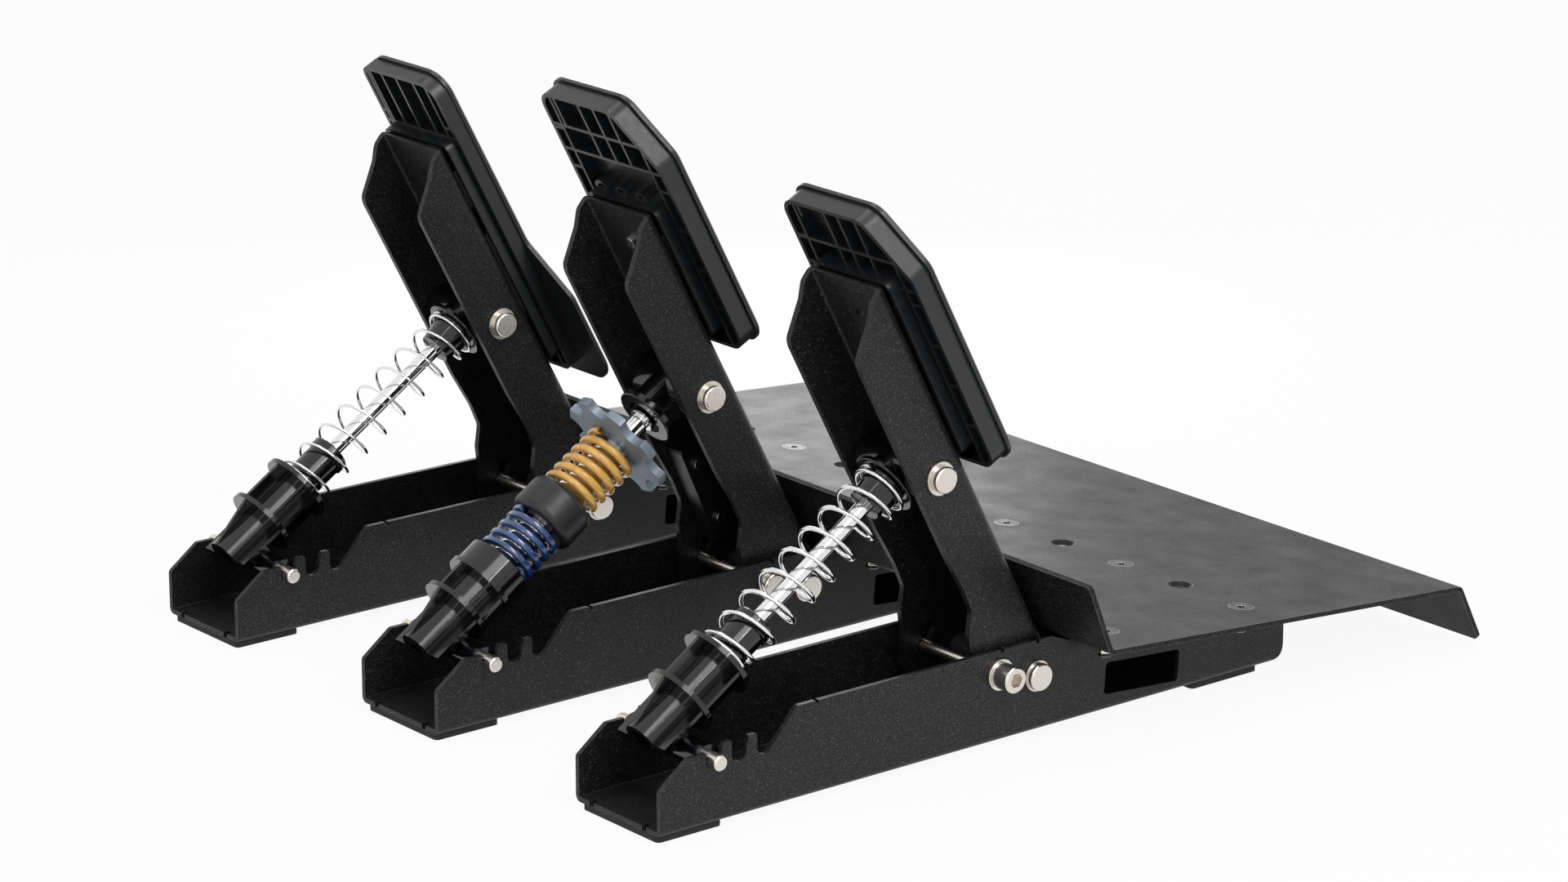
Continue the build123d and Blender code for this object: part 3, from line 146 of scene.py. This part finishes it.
# %% World
room_color = (0.80, 0.85, 0.92, 1)
room_strength = 0.40
world = bpy.data.worlds.new("studio")
scene.world = world
world.use_nodes = True
world_nodes, world_links = world.node_tree.nodes, world.node_tree.links
world_nodes.clear()
world_out = world_nodes.new("ShaderNodeOutputWorld")
seen = world_nodes.new("ShaderNodeBackground")
room = world_nodes.new("ShaderNodeBackground")
world_pick = world_nodes.new("ShaderNodeMixShader")
seen.inputs["Color"].default_value = (1, 1, 1, 1)
seen.inputs["Strength"].default_value = white
room.inputs["Color"].default_value = room_color
room.inputs["Strength"].default_value = room_strength
world_links.new(background_rays(world_nodes, world_links), world_pick.inputs["Fac"])
world_links.new(room.outputs["Background"], world_pick.inputs[1])
world_links.new(seen.outputs["Background"], world_pick.inputs[2])
world_links.new(world_pick.outputs["Shader"], world_out.inputs["Surface"])
scene.view_settings.view_transform = "Standard"
print("room strength", room_strength)

# %% [markdown]
# Panels of light shape the black parts. Wide ones give the paint its slow gradients, narrow
# ones are for lines on gloss, and a small one near the plate brightens its far end.

# %% Lights
target = Vector((0, 0.02, 0.10))


def panel(name, where, size, power, tint=(1, 1, 1)):
    """A rectangle of light that faces the object"""
    data = bpy.data.lights.new(name, "AREA")
    data.shape = "RECTANGLE"
    data.size, data.size_y = size
    data.energy = power
    data.color = tint
    light = bpy.data.objects.new(name, data)
    scene.collection.objects.link(light)
    light.location = where
    aim = target - Vector(where)
    light.rotation_euler = aim.to_track_quat("-Z", "Y").to_euler()


cool_tint = (0.92, 0.96, 1.0)
panel("key_panel", (-1.5, 0.2, 1.7), size=(0.9, 0.9), power=9)
panel("top_panel", (0.2, -0.2, 2.2), size=(1.4, 0.8), power=10)
panel("far_panel", (2.0, -2.2, 1.25), size=(1.0, 0.6), power=1.2, tint=cool_tint)
panel("front_panel", (-0.6, 2.1, 0.7), size=(0.7, 1.0), power=4)
panel("near_strip", (-2.2, 0.9, 0.30), size=(0.25, 0.9), power=4)
panel("high_strip", (-1.1, 1.5, 1.5), size=(0.07, 1.1), power=3)
panel("plate_panel", (0.47, -0.35, 0.20), size=(0.30, 0.25), power=0.75)
panel("crisp_strip", (-1.2, 0.1, 1.3), size=(0.06, 1.0), power=5)

# %% [markdown]
# Each finish is a small node tree on Principled BSDF. Powder coat is black paint baked into
# an even grain with a few pale specks. Noise in object coordinates keeps the grain at its
# real size on every piece, whatever the mesh looks like.

# %% Helpers for finishes
finishes = {}
noise_low, noise_high = 0.3, 0.7


def finish(name, color, metallic, roughness, coat=0.0, coat_roughness=0.05):
    """Make a Principled material, and return the parts of it that the kinds below extend"""
    material = bpy.data.materials.new(name)
    finishes[name] = material
    material.use_nodes = True
    nodes, links = material.node_tree.nodes, material.node_tree.links
    shader = nodes["Principled BSDF"]
    shader.inputs["Base Color"].default_value = (*color, 1)
    shader.inputs["Metallic"].default_value = metallic
    shader.inputs["Roughness"].default_value = roughness
    shader.inputs["Coat Weight"].default_value = coat
    shader.inputs["Coat Roughness"].default_value = coat_roughness
    where = nodes.new("ShaderNodeTexCoord")
    return nodes, links, shader, where


def noise(nodes, links, where, scale, detail):
    """Noise at a number of cells to the metre"""
    node = nodes.new("ShaderNodeTexNoise")
    node.inputs["Scale"].default_value = scale
    node.inputs["Detail"].default_value = detail
    node.inputs["Roughness"].default_value = 0.5
    links.new(where.outputs["Object"], node.inputs["Vector"])
    return node.outputs["Fac"]


def remap(nodes, links, value, low, high, to_low, to_high):
    """A value carried from one range to another"""
    node = nodes.new("ShaderNodeMapRange")
    node.inputs["From Min"].default_value = low
    node.inputs["From Max"].default_value = high
    node.inputs["To Min"].default_value = to_low
    node.inputs["To Max"].default_value = to_high
    links.new(value, node.inputs["Value"])
    return node.outputs["Result"]


def vary_roughness(nodes, links, shader, value, low, high):
    """Roughness that follows a noise from low to high"""
    uneven = remap(nodes, links, value, noise_low, noise_high, low, high)
    links.new(uneven, shader.inputs["Roughness"])


def blend_color(nodes, links, shader, value, first, second):
    """A base colour that goes from the first to the second with a value"""
    node = nodes.new("ShaderNodeMix")
    node.data_type = "RGBA"
    node.inputs["A"].default_value = (*first, 1)
    node.inputs["B"].default_value = (*second, 1)
    links.new(value, node.inputs["Factor"])
    links.new(node.outputs["Result"], shader.inputs["Base Color"])


def bump(nodes, links, shader, value, strength, distance):
    """Fine relief on a finish"""
    node = nodes.new("ShaderNodeBump")
    node.inputs["Strength"].default_value = strength
    node.inputs["Distance"].default_value = distance
    links.new(value, node.inputs["Height"])
    links.new(node.outputs["Normal"], shader.inputs["Normal"])


print("noise is used from", noise_low, "to", noise_high)

# %% Kinds of finish
coat_depth = 0.0001
polish_depth = 0.00005
fine_grain, coarse_grain, cloud_grain = 4200, 2100, 60
fine_start, coarse_start, speck_full = 0.63, 0.64, 0.72
peel_grain, peel_spread = 420, 0.04
patch_grain, patch_start = 240, 0.35


def powder_coat(name, base, speck, rough_low, rough_high, mirror=0.28):
    """Powder coat: an even orange peel under pale specks of two sizes"""
    nodes, links, shader, where = finish(name, base, metallic=0, roughness=rough_high)
    fine = noise(nodes, links, where, fine_grain, 1)
    coarse = noise(nodes, links, where, coarse_grain, 1)
    either = nodes.new("ShaderNodeMath")
    either.operation = "MAXIMUM"
    links.new(remap(nodes, links, fine, fine_start, speck_full, 0, 1), either.inputs[0])
    links.new(remap(nodes, links, coarse, coarse_start, speck_full, 0, 1), either.inputs[1])
    blend_color(nodes, links, shader, either.outputs["Value"], base, speck)
    shader.inputs["Specular IOR Level"].default_value = mirror
    clouds = noise(nodes, links, where, cloud_grain, 2)
    vary_roughness(nodes, links, shader, clouds, rough_low, rough_high)
    bump(nodes, links, shader, coarse, strength=0.30, distance=coat_depth)


def plastic(name, color, roughness, grain_strength, coat):
    """Moulded plastic, with a slight orange peel"""
    nodes, links, shader, where = finish(name, color, 0, roughness, coat, coat_roughness=0.08)
    peel = noise(nodes, links, where, peel_grain, 2)
    low, high = roughness - peel_spread, roughness + peel_spread
    vary_roughness(nodes, links, shader, peel, low, high)
    bump(nodes, links, shader, peel, grain_strength, distance=coat_depth)


def enamel(name, color, dark):
    """Spring enamel, worn a little thin along its turns"""
    nodes, links, shader, where = finish(
        name, color, metallic=0, roughness=0.30, coat=1.0, coat_roughness=0.10
    )
    patches = noise(nodes, links, where, patch_grain, 3)
    thick = remap(nodes, links, patches, patch_start, noise_high, 0, 1)
    blend_color(nodes, links, shader, thick, dark, color)
    vary_roughness(nodes, links, shader, patches, low=0.26, high=0.42)
    bump(nodes, links, shader, patches, strength=0.12, distance=coat_depth)


def metal(name, color, low, high, scale, strength, metallic):
    """Plated or polished metal with uneven gloss"""
    nodes, links, shader, where = finish(name, color, metallic, roughness=low)
    smear = noise(nodes, links, where, scale, 3)
    vary_roughness(nodes, links, shader, smear, low, high)
    bump(nodes, links, shader, smear, strength, distance=polish_depth)


print("paint grains to the metre", fine_grain, coarse_grain, cloud_grain)

# %% [markdown]
# The finishes are named as the record's material slots are. Four more serve a part of a
# slot: the plate's duller coat, the satin of the cup and the sensor cover, and the lighter
# grey painted on the edges of sheet and screws as a painted highlight. Zinc is only half a
# metal, which softens the nut's reflections.

# %% Paints
black, pale_speck = (0.004, 0.004, 0.0045), (0.12, 0.12, 0.125)
# The edge grey and its specks are a painted highlight: lighter paint on the bevels that stands
# for light caught along the sheet's edges.
painted_highlight_grey, painted_highlight_speck = (0.24, 0.24, 0.245), (0.34, 0.34, 0.35)
powder_coat("powder_coat", black, pale_speck, rough_low=0.36, rough_high=0.46)
powder_coat("plate_coat", black, pale_speck, rough_low=0.38, rough_high=0.48, mirror=0.17)
powder_coat("sheet_edge_painted_highlight", painted_highlight_grey, painted_highlight_speck, rough_low=0.24, rough_high=0.34)
enamel("amber_paint", color=(0.92, 0.54, 0.11), dark=(0.72, 0.36, 0.055))
enamel("blue_paint", color=(0.010, 0.060, 0.23), dark=(0.006, 0.030, 0.12))
print("paints", sorted(finishes))

# %% Plastics and metals
for name, color, roughness, grain_strength, coat in (
    ("black_plastic", (0.007, 0.008, 0.009), 0.34, 0.15, 0.0),
    ("gloss_housing", (0.003, 0.003, 0.004), 0.13, 0.02, 0.2),
    ("satin_moulding", (0.006, 0.006, 0.007), 0.40, 0.08, 0.0),
    ("rubber_feet", (0.010, 0.010, 0.010), 0.78, 0.3, 0.0),
    ("bush", (0.03, 0.03, 0.03), 0.5, 0.2, 0.0),
):
    plastic(name, color, roughness, grain_strength, coat)
for name, color, low, high, scale, strength, metallic in (
    ("nickel", (0.70, 0.66, 0.60), 0.22, 0.30, 900, 0.02, 1),
    ("chrome_steel", (0.78, 0.78, 0.79), 0.06, 0.13, 180, 0.03, 1),
    ("zinc", (0.24, 0.29, 0.34), 0.42, 0.54, 500, 0.1, 0.55),
    # The screw-edge metal is a painted highlight: a lighter metal on the screws' bevels that
    # stands for their bright rings.
    ("screw_edge", (0.42, 0.42, 0.43), 0.24, 0.36, 400, 0.1, 1),
    ("black_screws", (0.030, 0.030, 0.032), 0.30, 0.45, 400, 0.2, 1),
):
    metal(name, color, low, high, scale, strength, metallic)
print("finishes", sorted(finishes))

# %% [markdown]
# A CAD solid comes in as loose triangles with knife edges, and no real sheet or casting has
# those. A chain of modifiers leaves the CAD's mesh alone and finishes what is seen: the
# triangles are welded, flat faces are joined, each edge gets a narrow bevel that catches a
# thin line of light, and round faces are shaded smooth. On powder coat and on black screws
# the bevel is also painted a lighter grey, a painted highlight along each edge. A shading step
# in geometry nodes was chosen because marking the faces smooth by hand would change the mesh
# itself.

# %% Shading by angle
sharp_angle = math.radians(35)
shading = bpy.data.node_groups.new("soft_shading", "GeometryNodeTree")
shading.interface.new_socket("Geometry", in_out="INPUT", socket_type="NodeSocketGeometry")
shading.interface.new_socket("Geometry", in_out="OUTPUT", socket_type="NodeSocketGeometry")
group_in = shading.nodes.new("NodeGroupInput")
group_out = shading.nodes.new("NodeGroupOutput")
smooth_faces = shading.nodes.new("GeometryNodeSetShadeSmooth")
smooth_faces.domain = "FACE"
smooth_faces.inputs["Shade Smooth"].default_value = True
sharp_edges = shading.nodes.new("GeometryNodeSetShadeSmooth")
sharp_edges.domain = "EDGE"
sharp_edges.inputs["Shade Smooth"].default_value = False
edge_angle = shading.nodes.new("GeometryNodeInputMeshEdgeAngle")
is_sharp = shading.nodes.new("FunctionNodeCompare")
is_sharp.data_type = "FLOAT"
is_sharp.operation = "GREATER_THAN"
is_sharp.inputs["B"].default_value = sharp_angle
for source, sink in (
    (group_in.outputs["Geometry"], smooth_faces.inputs["Geometry"]),
    (smooth_faces.outputs["Geometry"], sharp_edges.inputs["Geometry"]),
    (edge_angle.outputs["Unsigned Angle"], is_sharp.inputs["A"]),
    (is_sharp.outputs["Result"], sharp_edges.inputs["Selection"]),
    (sharp_edges.outputs["Geometry"], group_out.inputs["Geometry"]),
):
    shading.links.new(source, sink)
print("shading nodes", len(shading.nodes))

# %% Finish the CAD nodes
weld_distance = 0.000002
flat_angle = math.radians(0.4)
sheet_bevel, moulded_bevel, fine_bevel = 0.0005, 0.0004, 0.0002
slots = {part["node"]: part["material_slot"] for part in frame["record"]["subparts"]}
special_finish = {
    "coupling_cup": "satin_moulding",
    "sensor_cover": "satin_moulding",
    "heel_plate": "plate_coat",
}
edge_width = {
    "powder_coat": sheet_bevel,
    "gloss_housing": moulded_bevel,
    "black_plastic": moulded_bevel,
    "zinc": moulded_bevel,
}
# The bevel faces of powder coat and black screws get a lighter finish, a painted highlight
# along their edges.
painted_edge_highlights = {"powder_coat": "sheet_edge_painted_highlight", "black_screws": "screw_edge"}
for name, node in frame["nodes"].items():
    slot = slots[name]
    node.data.materials.clear()
    node.data.materials.append(finishes[special_finish.get(name, slot)])
    weld = node.modifiers.new("weld", "WELD")
    weld.merge_threshold = weld_distance
    flats = node.modifiers.new("flat_faces", "DECIMATE")
    flats.decimate_type = "DISSOLVE"
    flats.angle_limit = flat_angle
    rounding = node.modifiers.new("rounding", "BEVEL")
    rounding.width = edge_width.get(slot, fine_bevel)
    rounding.segments = 2
    rounding.limit_method = "ANGLE"
    rounding.angle_limit = sharp_angle
    soft = node.modifiers.new("soft_shading", "NODES")
    soft.node_group = shading
    even = node.modifiers.new("even_normals", "WEIGHTED_NORMAL")
    even.keep_sharp = True
    # The bevel gets the lighter edge finish, a painted highlight.
    if slot in painted_edge_highlights:
        node.data.materials.append(finishes[painted_edge_highlights[slot]])
        rounding.material = 1
print("finished", len(frame["nodes"]), "nodes")

# %% [markdown]
# A compression spring is a wire wound on a mandrel: open turns in the middle, and a closed
# turn or less at each end so that it sits flat. In Blender a wire's section can be spun a
# little at a time about the strut's axis, and each step is lifted by what the winding rises
# there. This was chosen over the Screw modifier because a screw has only one pitch.

# %% The strut's axis
upper_pin = Vector((0, 0.0609, 0.1099))
down_strut = Vector((0, 0.83581, -0.54902))
off_strut = Vector((0, 0.54902, 0.83581))
module_x = {"clutch": -0.1361, "brake": 0.0, "throttle": 0.1361}


def on_strut(module):
    """Matrix from a drawing whose Z runs down the strut from the upper pin"""
    side = off_strut.cross(down_strut)
    turn = Matrix((off_strut, -side, down_strut)).transposed()
    return Matrix.Translation(upper_pin + Vector((module_x[module], 0, 0))) @ turn.to_4x4()


print("strut slope", round(math.degrees(math.asin(-down_strut.z)), 2))

# %% A wound spring
steps_per_turn = 40
section_points = 14
corner_steps = 3
closed_pitch = 1.38
end_inset = 0.3


def winding_height(place, turns, wire, span, ends, opening):
    """Height after some turns of a spring that is closed at both ends"""
    if place > turns / 2:
        return span - winding_height(turns - place, turns, wire, span, ends, opening)
    closed = wire * closed_pitch
    pitch = closed + (span - closed * turns) / (turns - 2 * ends - opening)
    into = min(max(place - ends, 0), opening)
    beyond = max(place - ends - opening, 0)
    return closed * place + (pitch - closed) * (into**2 / (2 * opening) + beyond)


def wire_section(bm, wire, across):
    """The outline of a round wire, or of a flat one with rounded corners"""
    if across > wire:
        made = bmesh.ops.create_grid(bm, x_segments=1, y_segments=1, size=0.5)
        bmesh.ops.scale(bm, vec=(across, wire, 1), verts=made["verts"])
        bmesh.ops.bevel(
            bm,
            geom=made["verts"],
            offset=wire / 4,
            segments=corner_steps,
            profile=0.5,
            affect="VERTICES",
            material=-1,
        )
        bmesh.ops.delete(bm, geom=bm.faces[:], context="FACES_ONLY")
    else:
        bmesh.ops.create_circle(bm, cap_ends=False, radius=wire / 2, segments=section_points)
    upright = Matrix.Rotation(math.radians(90), 3, "X")
    bmesh.ops.rotate(bm, cent=(0, 0, 0), matrix=upright, verts=bm.verts[:])


def wind(bm, turns, wire, span, ends, opening):
    """Spin the section about Z, and lift each step by the winding's rise"""
    geom = bm.verts[:] + bm.edges[:]
    before = 0
    for step in range(1, round(turns * steps_per_turn) + 1):
        after = winding_height(step / steps_per_turn, turns, wire, span, ends, opening)
        made = bmesh.ops.spin(
            bm,
            geom=geom,
            cent=(0, 0, 0),
            axis=(0, 0, 1),
            dvec=(0, 0, after - before),
            angle=math.radians(360 / steps_per_turn),
            steps=1,
            use_duplicate=False,
        )
        geom = made["geom_last"]
        before = after


def grind(bm, low, high):
    """Cut both ends flat, as a real spring's are ground, and close the cuts"""
    for foot, outwards in ((low, -1), (high, 1)):
        bmesh.ops.bisect_plane(
            bm,
            geom=bm.verts[:] + bm.edges[:] + bm.faces[:],
            plane_co=(0, 0, foot),
            plane_no=(0, 0, outwards),
            clear_outer=True,
        )
    open_edges = [edge for edge in bm.edges if edge.is_boundary]
    bmesh.ops.holes_fill(bm, edges=open_edges, sides=0)
    bmesh.ops.recalc_face_normals(bm, faces=bm.faces[:])


def wound(name, module, outer, wire, across, turns, low, high, ends, opening, material):
    """A spring between two heights on a strut, ends and opening being counted in turns"""
    bm = bmesh.new()
    wire_section(bm, wire, across)
    start = ((outer - across) / 2, 0, low + end_inset * wire)
    bmesh.ops.translate(bm, vec=start, verts=bm.verts[:])
    wind(bm, turns, wire, high - low - 2 * end_inset * wire, ends, opening)
    grind(bm, low, high)
    bmesh.ops.transform(bm, matrix=on_strut(module), verts=bm.verts[:])
    mesh = bpy.data.meshes.new(name)
    bm.to_mesh(mesh)
    bm.free()
    for face in mesh.polygons:
        face.use_smooth = True
    mesh.materials.append(finishes[material])
    piece = bpy.data.objects.new(name, mesh)
    scene.collection.objects.link(piece)
    print(name, "faces", len(mesh.polygons))
    return piece


print("a spring is wound in", steps_per_turn, "steps a turn")

# %% [markdown]
# The chrome springs push the clutch and throttle back. Each sits round the rod between the
# eye's seat and the strut's first fin. The eye's guide runs closely inside the turns, so
# the spring rides on the eye's side; here it moves with the ram and keeps its length. The
# clutch's spring is 0.4 mm wider than its stand-in in the CAD, so that it clears the strut's
# collar while the two halves of the strut drift sideways by up to 1.1 mm. Both end 0.2 mm
# above the fin at rest, because at mid-travel the fin comes nearer than a straight shortening
# allows for.

# %% Chrome return springs
for module, outer, wire in (("clutch", 0.0221, 0.0017), ("throttle", 0.0217, 0.0012)):
    spring = wound(
        module + "_return_coil",
        module,
        outer=outer,
        wire=wire,
        across=wire,
        turns=10.25,
        low=0.01065,
        high=0.10300,
        ends=1.0,
        opening=0.5,
        material="chrome_steel",
    )
    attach(spring, module + "_ram")
    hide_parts(module + "_spring")
    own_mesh(spring)

# %% [markdown]
# The brake has two stiff springs in line. The amber one is a die spring of round wire, and
# the blue one is wound from flat wire, which packs more steel into the same length.

# %% Amber brake spring
amber = wound(
    "amber_coil",
    "brake",
    outer=0.0238,
    wire=0.0032,
    across=0.0032,
    turns=5.5,
    low=0.03605,
    high=0.06455,
    ends=0.75,
    opening=0.25,
    material="amber_paint",
)
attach(amber, "coupling")
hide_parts("amber_spring")
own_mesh(amber)

# %% Blue brake spring
blue = wound(
    "blue_coil",
    "brake",
    outer=0.0233,
    wire=0.0024,
    across=0.0034,
    turns=4.75,
    low=0.08005,
    high=0.10145,
    ends=0.75,
    opening=0.25,
    material="blue_paint",
)
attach(blue, "brake_cylinder")
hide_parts("blue_spring")
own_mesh(blue)
